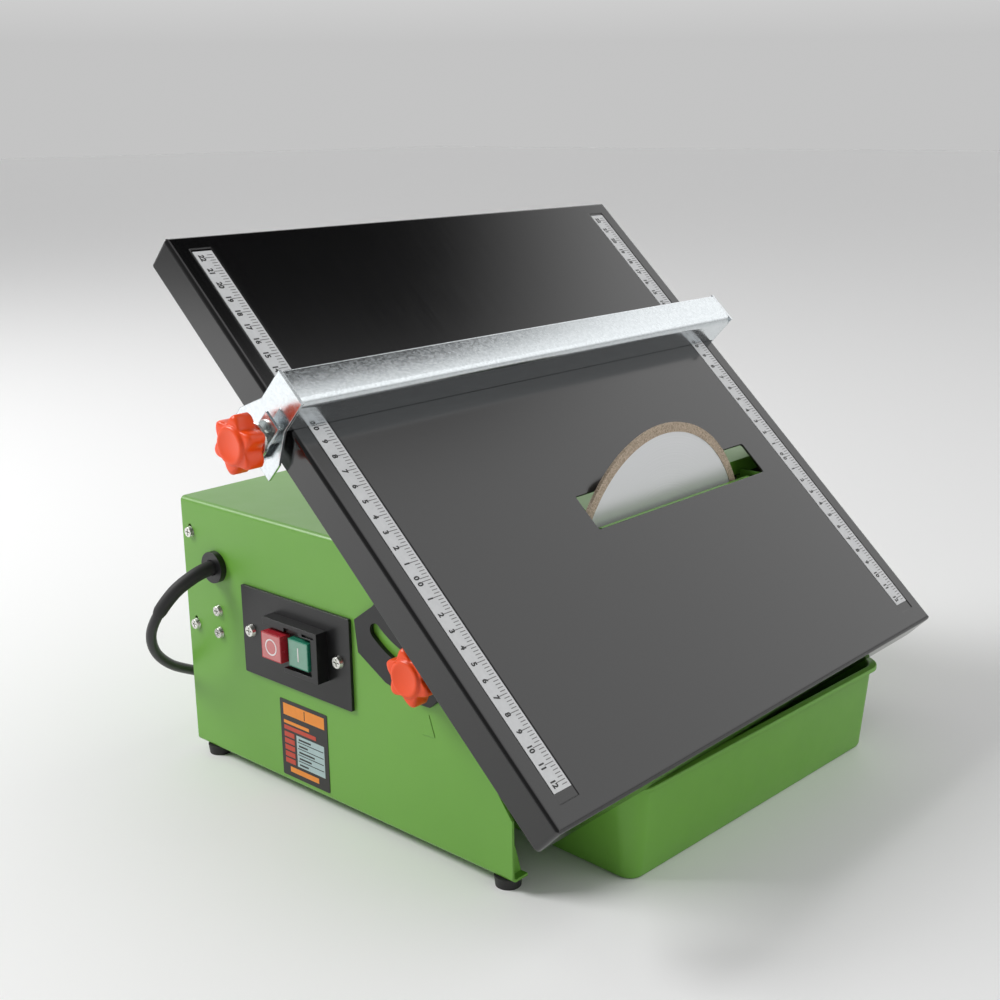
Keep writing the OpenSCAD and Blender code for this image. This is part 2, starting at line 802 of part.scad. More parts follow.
module rear_bell() {
    color("gray") difference() {
        union() {
            arbor_bar(housing_x - 10, 10, motor_r);
            arbor_bar(rear_x, 12, motor_r - 4);
        }
        arbor_bar(housing_x - 4, 5, motor_r - shell_t);
        arbor_bar(housing_x - 15, 20, bearing_r);
        arbor_bar(rear_x - eps, 20, 10);
    }
}

module stator_core() {
    color("silver") difference() {
        arbor_bar(stack_x[0], stack_x[1] - stack_x[0], motor_r - shell_t);
        arbor_bar(stack_x[0] - eps, 100, 24);
        for (i = [0:11]) translate([stack_x[0] - eps, 0, arbor_z]) rotate([30*i, 0, 0])
            translate([0, -2, 25]) cube([100, 4, 8]);
    }
}

module winding(x, l) {
    color("peru") difference() {
        arbor_bar(x, l, 35);
        arbor_bar(x - eps, l + 2*eps, 26);
    }
}

module front_winding() { winding(stack_x[1], 12); }

module rear_winding() { winding(stack_x[0] - 12, 12); }

module bearing(x) {
    color("silver") difference() {
        arbor_bar(x, 11, bearing_r - 0.02);
        arbor_bar(x - eps, 14, shaft_r + fit);
    }
}

module front_bearing() { bearing(bell_x - bell_l + 6); }

module rear_bearing() { bearing(housing_x - 15); }

module cooling_fan() {
    color("black") difference() {
        union() {
            arbor_bar(-196, 12, 11);
            arbor_bar(-186, 2, 33);
            for (i = [0:6]) translate([-196, 0, arbor_z]) rotate([360/7*i, 0, 0])
                translate([0, -1, 9]) cube([11, 2, 23]);
        }
        arbor_bar(-200, 20, shaft_r);
    }
}

module fan_cover() {
    color("dimgray") difference() {
        arbor_bar(-203, 31, motor_r - 2.8);
        arbor_bar(-201.5, 35, motor_r - 4);
        for (i = [0:11]) translate([-205, 0, arbor_z]) rotate([30*i, 0, 0])
            translate([0, -2, 12]) cube([5, 4, 20]);
    }
}

module capacitor() {
    color("white") bar_x([78, 148], -122, 62, 15);
}

module capacitor_clip() {
    color("gray") difference() {
        union() {
            bar_x([78, 148], -100, 12, 16.2);
            block([-100, 70, 160], [-88, 110, body_h - sheet]);
        }
        bar_x([78, 148], -101, 14, 15.05);
        block([-101, 95, 150], [-87, 111, body_h - sheet - 2]);
    }
}

// ---------------------------------------------------------------- water tub

// The tub's outline at height z, grown outward
module tub_outline(z, grow = 0) {
    out = tub_draft*z/tub_h + grow;
    rounded_rect([tub_x[0] - out, tub_y[0] - out], [tub_x[1] + out, tub_y[1] + out], tub_r + out);
}

// The solid between the outlines at two heights
module tub_loft(z0, z1, grow = 0) {
    hull() for (z = [z0, z1 - 0.2]) translate([0, 0, z]) linear_extrude(0.2) tub_outline(z, grow);
}

module tub_rim(z, h, inner, outer) {
    translate([0, 0, z]) linear_extrude(h) difference() {
        tub_outline(tub_h, outer);
        tub_outline(tub_h, inner);
    }
}

module water_tub() {
    color("yellowgreen") rotate(-tub_turn) {
        difference() {
            tub_loft(0, tub_h);
            tub_loft(tub_t, tub_h + 1, -tub_t);
        }
        tub_rim(tub_h - rim_h, rim_h, -tub_t/2, rim_over);
        tub_rim(tub_h - rim_lip, rim_lip, rim_over - 1, rim_over);
    }
}

// ---------------------------------------------------------------- the whole saw

body_shell();
end_cover();
motor_plate();
splash_guard();
guard_screws();
cover_screws();
feet();
foot_screws();
info_label();
cable_gland();
cable_sleeve();
cord();
cord_coil();
cord_tail();
plug_body();
plug_pins();
cord_clamp();
clamp_screws();
terminal_block();
switch_plate();
switch_screws();
switch_housing();
stop_button();
start_button();
pivot_pins();
tilt_studs();
tilt_washers();
tilt_knob_near();
tilt_knob_far();
table_pan();
bracket_near();
bracket_far();
scale_near();
scale_far();
fence_beam();
fence_end_plate();
fence_hook();
fence_stud();
fence_knob();
blade_core();
blade_rim();
inner_flange();
outer_flange();
arbor_nut();
motor_shaft();
rotor_core();
cooling_fan();
motor_housing();
front_bell();
rear_bell();
fan_cover();
motor_screws();
stator_core();
front_winding();
rear_winding();
front_bearing();
rear_bearing();
capacitor();
capacitor_clip();
water_tub();
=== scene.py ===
"""Looks of a bench wet saw for tiles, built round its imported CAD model. Lengths are in metres."""
import json
import math

import bmesh
import bpy
from mathutils import Matrix, Vector


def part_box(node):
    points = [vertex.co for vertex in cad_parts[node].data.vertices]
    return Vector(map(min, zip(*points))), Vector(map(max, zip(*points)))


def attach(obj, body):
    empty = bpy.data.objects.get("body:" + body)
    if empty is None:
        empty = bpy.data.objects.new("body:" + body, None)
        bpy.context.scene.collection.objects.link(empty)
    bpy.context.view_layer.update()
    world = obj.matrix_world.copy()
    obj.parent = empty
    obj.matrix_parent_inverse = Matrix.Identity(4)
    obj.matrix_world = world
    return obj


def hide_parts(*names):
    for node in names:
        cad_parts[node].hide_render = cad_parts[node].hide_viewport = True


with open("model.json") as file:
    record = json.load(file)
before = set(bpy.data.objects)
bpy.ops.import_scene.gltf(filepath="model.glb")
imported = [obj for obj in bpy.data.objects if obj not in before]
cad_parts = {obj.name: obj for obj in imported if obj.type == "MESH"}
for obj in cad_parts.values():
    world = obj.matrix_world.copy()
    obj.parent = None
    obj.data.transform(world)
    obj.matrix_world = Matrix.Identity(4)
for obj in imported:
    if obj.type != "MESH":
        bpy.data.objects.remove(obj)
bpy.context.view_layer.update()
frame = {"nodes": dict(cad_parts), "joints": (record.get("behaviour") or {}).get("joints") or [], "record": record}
NODES = frame["nodes"]
MM = 0.001


# ------------------------------------------------------------------ the table's own frame

def joint(name):
    return next(j for j in frame["joints"] if j["name"] == name)


TABLE_DOWN_SLOPE = Vector(joint("fence_slide")["axis"]).normalized()
TABLE_UP = Vector((-TABLE_DOWN_SLOPE.z, 0, TABLE_DOWN_SLOPE.x))
PIVOT = Vector(joint("table_tilt")["pos_m"])
FACE_RISE = max((v.co - PIVOT).dot(TABLE_UP) for v in NODES["table_pan"].data.vertices)


def table_point(u, y, w):
    """The row-frame point at u down the slope from the scale's zero, y along it, w above the top face.

    The pivot lies as far from the zero along the slope as it does from the blade.
    """
    foot = PIVOT + TABLE_UP * (FACE_RISE + w) + TABLE_DOWN_SLOPE * (u - PIVOT.x)
    return Vector((foot.x, y, foot.z))


def table_matrix(u=0.0, y=0.0, w=0.0):
    """Local X runs down the slope, Y away, Z up from the table."""
    m = Matrix((TABLE_DOWN_SLOPE, Vector((0, 1, 0)), TABLE_UP)).transposed().to_4x4()
    m.translation = table_point(u, y, w)
    return m


# ------------------------------------------------------------------ camera, light and floor

CAMERA_AT = Vector((0.48326, -0.68274, 0.39315))
CAMERA_AZIMUTH = 41.91
CAMERA_ELEVATION = 15.97
CAMERA_ROLL = -0.55
CAMERA_LENS = 50.05
CAMERA_SENSOR = 36
CAMERA_SHIFT = (-0.0067, 0.0169)


def make_camera():
    azimuth, elevation, roll = (math.radians(a) for a in (CAMERA_AZIMUTH, CAMERA_ELEVATION, CAMERA_ROLL))
    ahead = Vector((-math.sin(azimuth) * math.cos(elevation), math.cos(azimuth) * math.cos(elevation),
                    -math.sin(elevation)))
    level = Vector((math.cos(azimuth), math.sin(azimuth), 0))
    upright = level.cross(ahead)
    right = level * math.cos(roll) + upright * math.sin(roll)
    up = upright * math.cos(roll) - level * math.sin(roll)
    camera = bpy.data.objects.new("camera", bpy.data.cameras.new("camera"))
    bpy.context.scene.collection.objects.link(camera)
    camera.data.lens = CAMERA_LENS
    camera.data.sensor_width = CAMERA_SENSOR
    camera.data.shift_x, camera.data.shift_y = CAMERA_SHIFT
    matrix = Matrix((right, up, -ahead)).transposed().to_4x4()
    matrix.translation = CAMERA_AT
    camera.matrix_world = matrix
    bpy.context.scene.camera = camera


def area_light(name, at, target, size, power):
    light = bpy.data.lights.new(name, "AREA")
    light.shape = "RECTANGLE"
    light.size, light.size_y = size
    light.energy = power
    o = bpy.data.objects.new(name, light)
    bpy.context.scene.collection.objects.link(o)
    o.location = at
    o.rotation_euler = (Vector(target) - Vector(at)).to_track_quat("-Z", "Y").to_euler()


def blend(tree, value, start, end, low, high):
    """low while value is at start, high at end, straight between them."""
    node = add(tree, "ShaderNodeMapRange")
    tree.links.new(value, node.inputs["Value"])
    for name, number in (("From Min", start), ("From Max", end), ("To Min", low), ("To Max", high)):
        node.inputs[name].default_value = number
    return node.outputs["Result"]


def multiply(tree, a, b):
    node = add(tree, "ShaderNodeMath", operation="MULTIPLY")
    tree.links.new(a, node.inputs[0])
    tree.links.new(b, node.inputs[1])
    return node.outputs["Value"]


WORLD_STRENGTH = 1.25
WORLD_FRONT = 0.15 * WORLD_STRENGTH     # strength towards the near side, above the horizon
WORLD_HORIZON = 0.44                    # share of the strength that is left at the horizon
FLAG_RISE = (0.60, 0.70)                # the flag begins and is whole at these heights of the direction
FLOOR_COLOR = (0.88, 0.88, 0.88, 1)
FLOOR_ROUGHNESS = 0.7
FLOOR_SIZE = 30
KEY_AT = (-1.75, -1.4, 1.8)
KEY_TARGET = (-0.15, -0.15, 0.12)
KEY_SIZE = (1.0, 1.0)
KEY_POWER = 54


def make_world():
    """White studio, dim in front and at the horizon.

    A black flag stands up behind the table's high end, where the table mirrors it in the photo's view.
    """
    world = bpy.data.worlds.new("studio")
    bpy.context.scene.world = world
    world.use_nodes = True
    tree = world.node_tree
    direction = add(tree, "ShaderNodeSeparateXYZ")
    tree.links.new(add(tree, "ShaderNodeTexCoord").outputs["Generated"], direction.inputs["Vector"])
    x, y, z = (direction.outputs[axis] for axis in "XYZ")
    flag = multiply(tree, blend(tree, z, *FLAG_RISE, 0, 1), blend(tree, x, 0.20, 0.10, 0, 1))
    flag = multiply(tree, flag, blend(tree, y, -0.1, 0.1, 0, 1))
    above = multiply(tree, blend(tree, flag, 0, 1, 1, 0), blend(tree, z, 0.05, 0.35, WORLD_HORIZON, 1))
    front = blend(tree, multiply(tree, blend(tree, y, 0.15, -0.35, 0, 1), blend(tree, z, 0.1, 0.3, 0, 1)),
                  0, 1, WORLD_STRENGTH, WORLD_FRONT)
    background = tree.nodes["Background"]
    background.inputs["Color"].default_value = (1, 1, 1, 1)
    tree.links.new(multiply(tree, above, front), background.inputs["Strength"])


def make_lights():
    area_light("key", KEY_AT, KEY_TARGET, KEY_SIZE, KEY_POWER)


def make_floor():
    bpy.ops.mesh.primitive_plane_add(size=FLOOR_SIZE, location=(0, 0, 0))
    floor = bpy.context.object
    floor.name = "floor"
    m, _, shader = new_material("floor_white")
    shader.inputs["Base Color"].default_value = FLOOR_COLOR
    shader.inputs["Roughness"].default_value = FLOOR_ROUGHNESS
    floor.data.materials.append(m)


# ------------------------------------------------------------------ material helpers

def new_material(name):
    m = bpy.data.materials.new(name)
    m.use_nodes = True
    return m, m.node_tree, m.node_tree.nodes["Principled BSDF"]


def add(tree, kind, **values):
    node = tree.nodes.new(kind)
    for key, value in values.items():
        setattr(node, key, value)
    return node


def object_coordinates(tree, scale=(1, 1, 1)):
    """Object coordinates in metres, stretched by scale."""
    source = add(tree, "ShaderNodeTexCoord")
    mapping = add(tree, "ShaderNodeMapping")
    mapping.inputs["Scale"].default_value = scale
    tree.links.new(source.outputs["Object"], mapping.inputs["Vector"])
    return mapping.outputs["Vector"]


def noise(tree, scale, detail=4.0, roughness=0.55, stretch=(1, 1, 1)):
    texture = add(tree, "ShaderNodeTexNoise")
    texture.inputs["Scale"].default_value = scale
    texture.inputs["Detail"].default_value = detail
    texture.inputs["Roughness"].default_value = roughness
    tree.links.new(object_coordinates(tree, stretch), texture.inputs["Vector"])
    return texture.outputs["Fac"]


def ramp(tree, factor, low, high, start=0.0, end=1.0):
    """Colour or grey that goes from low to high as the factor goes from start to end."""
    node = add(tree, "ShaderNodeValToRGB")
    node.color_ramp.elements[0].position = start
    node.color_ramp.elements[1].position = end
    node.color_ramp.elements[0].color = (*low, 1)
    node.color_ramp.elements[1].color = (*high, 1)
    tree.links.new(factor, node.inputs["Fac"])
    return node.outputs["Color"]


def grey_ramp(tree, factor, low, high, start=0.0, end=1.0):
    return ramp(tree, factor, (low,) * 3, (high,) * 3, start, end)


def bump(tree, height, strength, distance, normal=None):
    node = add(tree, "ShaderNodeBump")
    node.inputs["Strength"].default_value = strength
    node.inputs["Distance"].default_value = distance
    tree.links.new(height, node.inputs["Height"])
    if normal is not None:
        tree.links.new(normal, node.inputs["Normal"])
    return node.outputs["Normal"]


def soft_edges(tree, radius):
    """Normals that round the edges a little, as pressed and moulded parts are."""
    node = add(tree, "ShaderNodeBevel", samples=6)
    node.inputs["Radius"].default_value = radius
    return node.outputs["Normal"]


def set_values(shader, roughness=None, metallic=None, specular=None, coat=None, coat_roughness=None):
    for socket, value in (("Roughness", roughness), ("Metallic", metallic), ("Specular IOR Level", specular),
                          ("Coat Weight", coat), ("Coat Roughness", coat_roughness)):
        if value is not None:
            shader.inputs[socket].default_value = value


# ------------------------------------------------------------------ materials

def powder_coat(name, color, shade, roughness=0.42, edge=0.0006, coat=0.25):
    """Baked powder coat: fine orange peel and a faint drift of colour."""
    m, tree, shader = new_material(name)
    drift = noise(tree, 9, 3)
    tree.links.new(ramp(tree, drift, color, shade, 0.35, 0.7), shader.inputs["Base Color"])
    peel = noise(tree, 900, 2, 0.5)
    tree.links.new(bump(tree, peel, 0.12, 0.0002, soft_edges(tree, edge)), shader.inputs["Normal"])
    tree.links.new(grey_ramp(tree, noise(tree, 60, 4), roughness - 0.05, roughness + 0.06),
                   shader.inputs["Roughness"])
    set_values(shader, specular=0.5, coat=coat, coat_roughness=0.32)
    return m


def table_coat():
    """Smooth black coat of the table with faint streaks from wiping."""
    m, tree, shader = new_material("table_black")
    streaks = noise(tree, 30, 5, 0.6, (1, 14, 1))
    tree.links.new(ramp(tree, streaks, (0.0020, 0.0020, 0.0023), (0.0032, 0.0032, 0.0036)),
                   shader.inputs["Base Color"])
    tree.links.new(grey_ramp(tree, streaks, 0.12, 0.17), shader.inputs["Roughness"])
    peel = noise(tree, 700, 2, 0.5)
    tree.links.new(bump(tree, peel, 0.02, 0.0002, soft_edges(tree, 0.0007)), shader.inputs["Normal"])
    set_values(shader, specular=0.8)
    return m


def moulded(name, color, shade, roughness=0.38, edge=0.0005, grain=0.08):
    """Moulded plastic with a fine spark-eroded grain."""
    m, tree, shader = new_material(name)
    tree.links.new(ramp(tree, noise(tree, 25, 3), color, shade, 0.3, 0.75), shader.inputs["Base Color"])
    tree.links.new(bump(tree, noise(tree, 2600, 2, 0.6), grain, 0.0001, soft_edges(tree, edge)),
                   shader.inputs["Normal"])
    tree.links.new(grey_ramp(tree, noise(tree, 120, 3), roughness - 0.05, roughness + 0.07),
                   shader.inputs["Roughness"])
    return m


def spangled_zinc():
    """Hot-dip galvanised sheet: pale crystals about a millimetre across, each with its own sheen."""
    m, tree, shader = new_material("galvanised")
    cells = add(tree, "ShaderNodeTexVoronoi", feature="F1")
    cells.inputs["Scale"].default_value = 850
    cells.inputs["Randomness"].default_value = 1.0
    tree.links.new(object_coordinates(tree, (1, 0.7, 1)), cells.inputs["Vector"])
    tone = add(tree, "ShaderNodeSeparateColor")
    tree.links.new(cells.outputs["Color"], tone.inputs["Color"])
    tree.links.new(ramp(tree, tone.outputs["Red"], (0.66, 0.70, 0.72), (0.74, 0.78, 0.80)),
                   shader.inputs["Base Color"])
    tree.links.new(grey_ramp(tree, tone.outputs["Green"], 0.16, 0.24), shader.inputs["Roughness"])
    tree.links.new(bump(tree, tone.outputs["Blue"], 0.03, 0.0001, soft_edges(tree, 0.0006)),
                   shader.inputs["Normal"])
    set_values(shader, metallic=1.0)
    return m


def bright_metal(name, color, roughness=0.3, scratch=(1, 1, 1), edge=0.0004):
    """Plated or machined steel with fine marks."""
    m, tree, shader = new_material(name)
    marks = noise(tree, 260, 5, 0.65, scratch)
    darker = tuple(0.8 * c for c in color)
    tree.links.new(ramp(tree, marks, darker, color, 0.3, 0.7), shader.inputs["Base Color"])
    tree.links.new(grey_ramp(tree, marks, roughness - 0.08, roughness + 0.12), shader.inputs["Roughness"])
    tree.links.new(bump(tree, marks, 0.05, 0.0001, soft_edges(tree, edge)), shader.inputs["Normal"])
    set_values(shader, metallic=1.0)
    return m


def blade_steel():
    """Ground disc: very fine rings round the arbor."""
    m, tree, shader = new_material("blade_steel")
    centre = add(tree, "ShaderNodeVectorMath", operation="SUBTRACT")
    source = add(tree, "ShaderNodeTexCoord")
    tree.links.new(source.outputs["Object"], centre.inputs[0])
    centre.inputs[1].default_value = Vector(joint("blade_spin")["pos_m"])
    radius = add(tree, "ShaderNodeVectorMath", operation="LENGTH")
    tree.links.new(centre.outputs["Vector"], radius.inputs[0])
    rings = add(tree, "ShaderNodeTexNoise", noise_dimensions="1D")
    rings.inputs["Scale"].default_value = 1400
    rings.inputs["Detail"].default_value = 3
    tree.links.new(radius.outputs["Value"], rings.inputs["W"])
    tree.links.new(ramp(tree, rings.outputs["Fac"], (0.80, 0.81, 0.82), (0.85, 0.86, 0.87), 0.3, 0.7),
                   shader.inputs["Base Color"])
    tree.links.new(grey_ramp(tree, rings.outputs["Fac"], 0.42, 0.55), shader.inputs["Roughness"])
    set_values(shader, metallic=0.55)
    return m


def diamond_grit():
    """Sintered rim: tan matrix with darker and lighter grains."""
    m, tree, shader = new_material("diamond_rim")
    grains = add(tree, "ShaderNodeTexVoronoi", feature="F1")
    grains.inputs["Scale"].default_value = 1500
    tree.links.new(object_coordinates(tree), grains.inputs["Vector"])
    tone = add(tree, "ShaderNodeSeparateColor")
    tree.links.new(grains.outputs["Color"], tone.inputs["Color"])
    tree.links.new(ramp(tree, tone.outputs["Red"], (0.30, 0.23, 0.16), (0.66, 0.54, 0.42)),
                   shader.inputs["Base Color"])
    tree.links.new(bump(tree, tone.outputs["Green"], 0.5, 0.0002), shader.inputs["Normal"])
    set_values(shader, roughness=0.7, metallic=0.15)
    return m


def plain_print(name, color, roughness=0.45):
    """Ink or film: nearly flat colour with a faint mottle."""
    m, tree, shader = new_material(name)
    darker = tuple(0.93 * c for c in color)
    tree.links.new(ramp(tree, noise(tree, 300, 3), darker, color, 0.3, 0.7), shader.inputs["Base Color"])
    set_values(shader, roughness=roughness)
    return m


def wound_copper():
    m, tree, shader = new_material("winding")
    strands = add(tree, "ShaderNodeTexWave", wave_type="RINGS", rings_direction="X")
    strands.inputs["Scale"].default_value = 120
    strands.inputs["Distortion"].default_value = 2.0
    tree.links.new(object_coordinates(tree), strands.inputs["Vector"])
    tree.links.new(ramp(tree, strands.outputs["Fac"], (0.22, 0.08, 0.03), (0.62, 0.28, 0.13)),
                   shader.inputs["Base Color"])
    tree.links.new(bump(tree, strands.outputs["Fac"], 0.4, 0.0005), shader.inputs["Normal"])
    set_values(shader, metallic=0.7, roughness=0.35)
    return m


GREEN = (0.150, 0.390, 0.042)
GREEN_SHADE = (0.135, 0.360, 0.036)


def make_materials():
    return {
        "green_paint": powder_coat("green_paint", GREEN, GREEN_SHADE),
        # Near-black coat. On the motor plate inside the body, behind the top panel's down-lip, this near-black is
        # painted shade that stands in for the shaded interior.
        "dark_paint": powder_coat("dark_paint", (0.008, 0.008, 0.009), (0.006, 0.006, 0.007), 0.36, coat=0),
        "table_paint": table_coat(),
        "galvanised": spangled_zinc(),
        "zinc_plated": bright_metal("zinc_plated", (0.80, 0.80, 0.76), 0.25),
        "steel": bright_metal("machined_steel", (0.58, 0.58, 0.60), 0.3, (6, 1, 1)),
        "blade_steel": blade_steel(),
        "diamond_rim": diamond_grit(),
        "rubber": moulded("rubber", (0.014, 0.014, 0.014), (0.020, 0.020, 0.020), 0.6, grain=0.15),
        "cord_rubber": moulded("cord_rubber", (0.008, 0.008, 0.009), (0.012, 0.012, 0.013), 0.40),
        "black_plastic": moulded("black_plastic", (0.006, 0.006, 0.0065), (0.009, 0.009, 0.0095), 0.30),
        "orange_plastic": moulded("orange_plastic", (0.95, 0.080, 0.004), (0.88, 0.068, 0.003), 0.32, 0.0008),
        "red_plastic": moulded("red_plastic", (0.52, 0.030, 0.045), (0.46, 0.025, 0.038), 0.25),
        "green_plastic": moulded("green_plastic", (0.025, 0.26, 0.155), (0.020, 0.22, 0.13), 0.25),
        "tub_plastic": moulded("tub_plastic", GREEN, GREEN_SHADE, 0.38, 0.001),
        "label_film": plain_print("label_black", (0.020, 0.018, 0.018), 0.35),
        "scale_film": plain_print("scale_white", (0.78, 0.79, 0.80), 0.4),
        "motor_alloy": bright_metal("motor_alloy", (0.50, 0.51, 0.52), 0.45),
        "lamination": bright_metal("lamination", (0.30, 0.30, 0.32), 0.4, (60, 1, 1)),
        "copper": wound_copper(),
        "white_plastic": moulded("white_plastic", (0.72, 0.72, 0.70), (0.66, 0.66, 0.64), 0.4),
    }


def dress_nodes(materials):
    slot_of = {s["node"]: s["material_slot"] for s in frame["record"]["subparts"]}
    for name, o in NODES.items():
        o.data.materials.clear()
        o.data.materials.append(materials[slot_of[name]])


# ------------------------------------------------------------------ mesh helpers

def link_mesh(name, mesh, material, body):
    """Puts a mesh in the scene as a piece that rides on a body."""
    o = bpy.data.objects.new(name, mesh)
    bpy.context.scene.collection.objects.link(o)
    mesh.materials.append(material)
    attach(o, body)
    return o


def smooth_by_angle(mesh, degrees=35):
    for p in mesh.polygons:
        p.use_smooth = True
    mesh.set_sharp_from_angle(angle=math.radians(degrees))


def loft(name, loops, close_first=True, close_last=True):
    """A mesh skinned over loops of points, each loop the same number long."""
    bm = bmesh.new()
    rings = [[bm.verts.new(p) for p in loop] for loop in loops]
    count = len(rings[0])
    for a, b in zip(rings, rings[1:]):
        for k in range(count):
            bm.faces.new((a[k], a[(k + 1) % count], b[(k + 1) % count], b[k]))
    if close_first:
        bm.faces.new(list(reversed(rings[0])))
    if close_last:
        bm.faces.new(rings[-1])
    bmesh.ops.recalc_face_normals(bm, faces=bm.faces)
    mesh = bpy.data.meshes.new(name)
    bm.to_mesh(mesh)
    bm.free()
    return mesh


def boxes_mesh(name, boxes, matrix=None):
    """One mesh of many small boxes, each given by its low and high corner."""
    bm = bmesh.new()
    for low, high in boxes:
        made = bmesh.ops.create_cube(bm, size=1.0)["verts"]
        middle = (Vector(low) + Vector(high)) / 2
        size = Vector(high) - Vector(low)
        for v in made:
            v.co = Vector((v.co.x * size.x, v.co.y * size.y, v.co.z * size.z)) + middle
    if matrix is not None:
        bmesh.ops.transform(bm, matrix=matrix, verts=bm.verts)
    mesh = bpy.data.meshes.new(name)
    bm.to_mesh(mesh)
    bm.free()
    return mesh


# ------------------------------------------------------------------ mains cord

CORD_DIAMETER = 0.0066
ROUTE = [
    (-0.191, -0.196, 0.1315), (-0.1925, -0.205, 0.1305), (-0.195, -0.214, 0.127), (-0.200, -0.224, 0.119),
    (-0.208, -0.231, 0.105), (-0.219, -0.230, 0.089), (-0.228, -0.222, 0.073), (-0.235, -0.208, 0.059),
    (-0.241, -0.190, 0.048), (-0.248, -0.162, 0.034), (-0.256, -0.128, 0.020), (-0.266, -0.092, 0.009),
    (-0.275, -0.054, 0.0045), (-0.281, -0.014, 0.0035), (-0.282, 0.028, 0.0035), (-0.277, 0.070, 0.0035),
    (-0.267, 0.110, 0.0035), (-0.252, 0.148, 0.0035), (-0.229, 0.174, 0.0035), (-0.200, 0.179, 0.0035),
    (-0.176, 0.176, 0.0035),
]
TAIL_ROUTE = [
    (-0.158, 0.1734, 0.0101), (-0.146, 0.1734, 0.0106), (-0.134, 0.1736, 0.0122), (-0.122, 0.174, 0.0148),
    (-0.110, 0.1745, 0.0172), (-0.098, 0.175, 0.0185), (-0.086, 0.1752, 0.0188),
]
SLEEVE_STRETCHES = 4        # the strain relief covers this many stretches of the route
SLEEVE_RADIUS = 0.0047
SLEEVE_TAPER = 0.0005
SLEEVE_LIP = 0.0036
ROUTE_STEPS = 6             # points to each stretch of the route
TAIL_STEPS = 4
COIL_AT = Vector((-0.158, 0.216, 0.0002))
COIL_RADIUS = 0.036
COIL_START = math.radians(-114)
COIL_TURNS = 6 + 24 / 360
POINTS_PER_TURN = 36


def spline_point(a, b, c, d, t):
    return 0.5 * (2 * b + (c - a) * t + (2 * a - 5 * b + 4 * c - d) * t * t
                  + (3 * b - a - 3 * c + d) * t * t * t)


def smooth_route(points, steps):
    """The same smooth curve as the CAD's, through its points, steps to a stretch."""
    p = [Vector(q) for q in points]
    last = len(p) - 1
    curve = [spline_point(p[max(i - 1, 0)], p[i], p[i + 1], p[min(i + 2, last)], k / steps)
             for i in range(last) for k in range(steps)]
    return curve + [p[last]]


def step_up(s, start, end):
    """0 before start, 1 after end, and smooth between them."""
    t = min(max((s - start) / (end - start), 0.0), 1.0)
    return t * t * (3 - 2 * t)


def coil_point(turn):
    """The coil's centreline: three turns inward on the floor, then three outward on top of them."""
    inward = step_up(turn, 0.8, 1.0) + step_up(turn, 1.8, 2.0)
    outward = step_up(turn, 3.8, 4.0) + step_up(turn, 4.8, 5.0)
    radius = COIL_RADIUS + CORD_DIAMETER * (1 - inward + outward)
    angle = COIL_START + 2 * math.pi * turn
    height = CORD_DIAMETER * (0.5 + step_up(turn, 2.6, 3.0))
    return COIL_AT + Vector((radius * math.cos(angle), radius * math.sin(angle), height))


def make_cord(material):
    main = smooth_route(ROUTE, ROUTE_STEPS)[ROUTE_STEPS * SLEEVE_STRETCHES:]
    count = round(COIL_TURNS * POINTS_PER_TURN)
    coil = [coil_point(COIL_TURNS * i / count) for i in range(count + 1)]
    tail = smooth_route(TAIL_ROUTE, TAIL_STEPS)
    line = main[:-1] + coil + tail[2:]
    curve = bpy.data.curves.new("mains_cord", "CURVE")
    curve.dimensions = "3D"
    curve.bevel_depth = CORD_DIAMETER / 2
    curve.bevel_resolution = 5
    curve.use_fill_caps = True
    spline = curve.splines.new("POLY")
    spline.points.add(len(line) - 1)
    for point, at in zip(spline.points, line):
        point.co = (*at, 1)
    spline.use_smooth = True
    cord = bpy.data.objects.new("mains_cord", curve)
    bpy.context.scene.collection.objects.link(cord)
    curve.materials.append(material)
    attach(cord, "base")
    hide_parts("cord", "cord_coil", "cord_tail")
    return cord, line


def tube_loops(line, radii, sides=28):
    """Rings round a line of points, without twist, one for each radius."""
    loops = []
    side = Vector((0, 0, 1))
    for i, (at, radius) in enumerate(zip(line, radii)):
        ahead = (line[min(i + 1, len(line) - 1)] - line[max(i - 1, 0)]).normalized()
        side = (side - ahead * side.dot(ahead)).normalized()
        other = ahead.cross(side)
        loops.append([at + radius * (math.cos(a) * side + math.sin(a) * other)
                      for a in (2 * math.pi * k / sides for k in range(sides))])
    return loops


def make_sleeve(material):
    """Tapered strain relief with a rounded lip at its end."""
    line = smooth_route(ROUTE, ROUTE_STEPS)[:ROUTE_STEPS * SLEEVE_STRETCHES + 1]
    last = len(line) - 1
    radii = [SLEEVE_RADIUS - SLEEVE_TAPER * i / last for i in range(len(line))]
    radii[-1] = SLEEVE_LIP
    sleeve = link_mesh("strain_relief", loft("strain_relief", tube_loops(line, radii)), material, "base")
    smooth_by_angle(sleeve.data, 50)
    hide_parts("cable_sleeve")


def revolve(name, profile, start, sides=48):
    """A solid turned about the X direction from start; the profile lists (distance along, radius)."""
    loops = []
    for along, radius in profile:
        loops.append([start + Vector((along, radius * math.cos(a), radius * math.sin(a)))
                      for a in (2 * math.pi * k / sides for k in range(sides))])
    return loft(name, loops)


PLUG_RIBS = 5
PLUG_RIB_PITCH = 0.0034
PLUG_RIB_DEPTH = 0.0008


